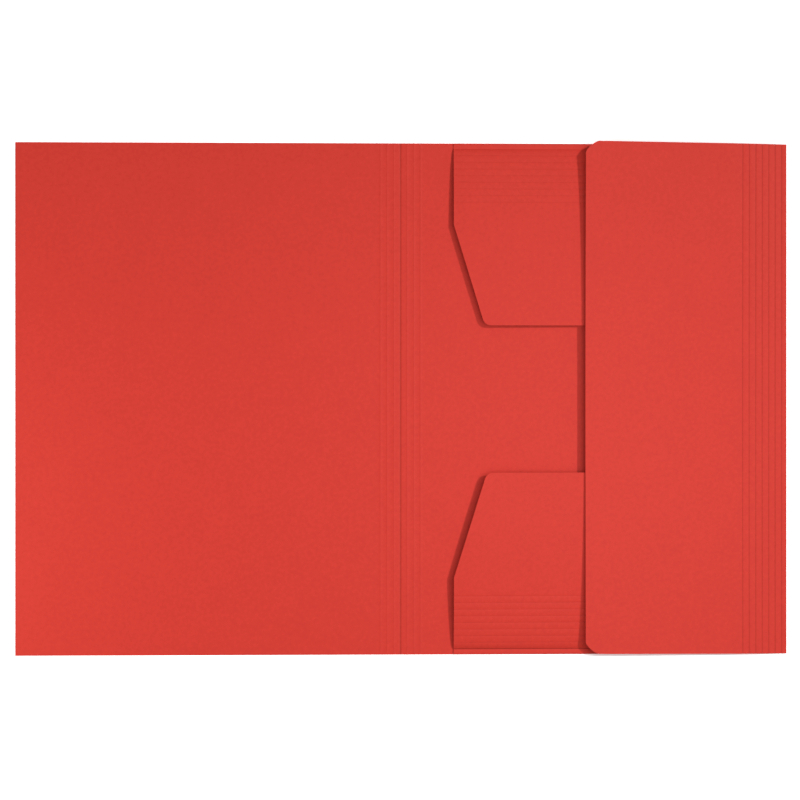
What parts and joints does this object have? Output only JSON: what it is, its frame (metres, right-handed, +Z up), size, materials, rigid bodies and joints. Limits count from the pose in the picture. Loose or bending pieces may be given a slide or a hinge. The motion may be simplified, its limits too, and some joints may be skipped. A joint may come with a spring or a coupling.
{
  "type": "three flap folder",
  "caption": "Open A4 document folder of one creased card sheet, its top, bottom and side flaps folded in over the back panel.",
  "frame": {"origin": "middle of the open folder's footprint, on the surface it lies on", "axes": "+X across the open folder from the front cover to the back panel, +Y along the spine towards the top flap, +Z up"},
  "size_m": [0.4798, 0.319, 0.0106],
  "materials": {
    "red_card": "matt recycled card, dyed red all through"
  },
  "bodies": {
    "back": {"back_panel_with_end_flaps": "red_card"},
    "cover": {"front_cover": "red_card"},
    "side": {"side_flap": "red_card"}
  },
  "joints": [
    {"name": "cover_fold", "type": "hinge", "parent": "back", "child": "cover", "pos_m": [-0.0014, 0, 0.00065], "axis": [0, 1, 0], "range_deg": [0, 167]},
    {"name": "side_flap_fold", "type": "hinge", "parent": "back", "child": "side", "pos_m": [0.24, 0, 0.0007], "axis": [0, 1, 0], "range_deg": [0, 172]}
  ]
}
